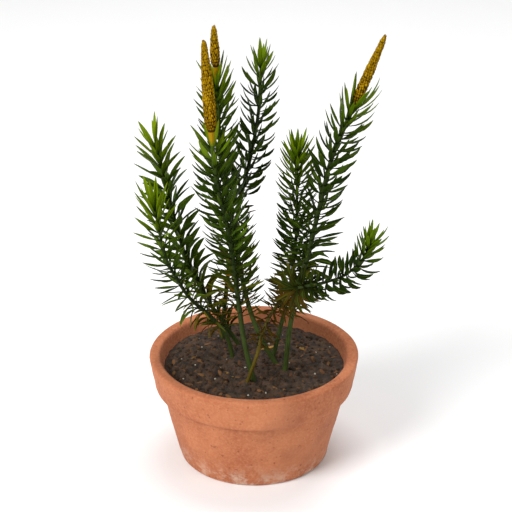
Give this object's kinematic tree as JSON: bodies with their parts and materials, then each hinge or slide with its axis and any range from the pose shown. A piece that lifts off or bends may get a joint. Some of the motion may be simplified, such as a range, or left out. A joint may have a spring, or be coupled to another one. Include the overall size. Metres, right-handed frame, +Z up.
{
  "type": "potted stiff clubmoss",
  "caption": "Upright, leafy clubmoss shoots with golden cones, growing in soil in a low, plain clay pot.",
  "frame": {"origin": "centre of the pot's underside", "axes": "+Z up, the front of the plant faces -Y"},
  "size_m": [0.086, 0.0829, 0.1615],
  "materials": {
    "clay": "matte, fired and unglazed",
    "soil": "loose, damp potting mix with bark and grit",
    "leaf": "satin, living green",
    "dead_leaf": "dry, brown",
    "cone": "dry, ochre scales",
    "stalk": "satin, yellow-green"
  },
  "bodies": {
    "root": {"pot": "clay", "soil": "soil", "shoot_front": "leaf", "shoot_rear": "leaf", "shoot_back": "leaf", "shoot_left": "leaf", "shoot_left_low": "leaf", "shoot_right": "leaf", "shoot_right_short": "leaf", "shoot_creeping": "leaf", "shoot_creeping_base": "dead_leaf", "stalk_front": "stalk", "stalk_rear": "stalk", "stalk_right": "stalk", "cone_front": "cone", "cone_rear": "cone", "cone_right": "cone"}
  },
  "joints": []
}
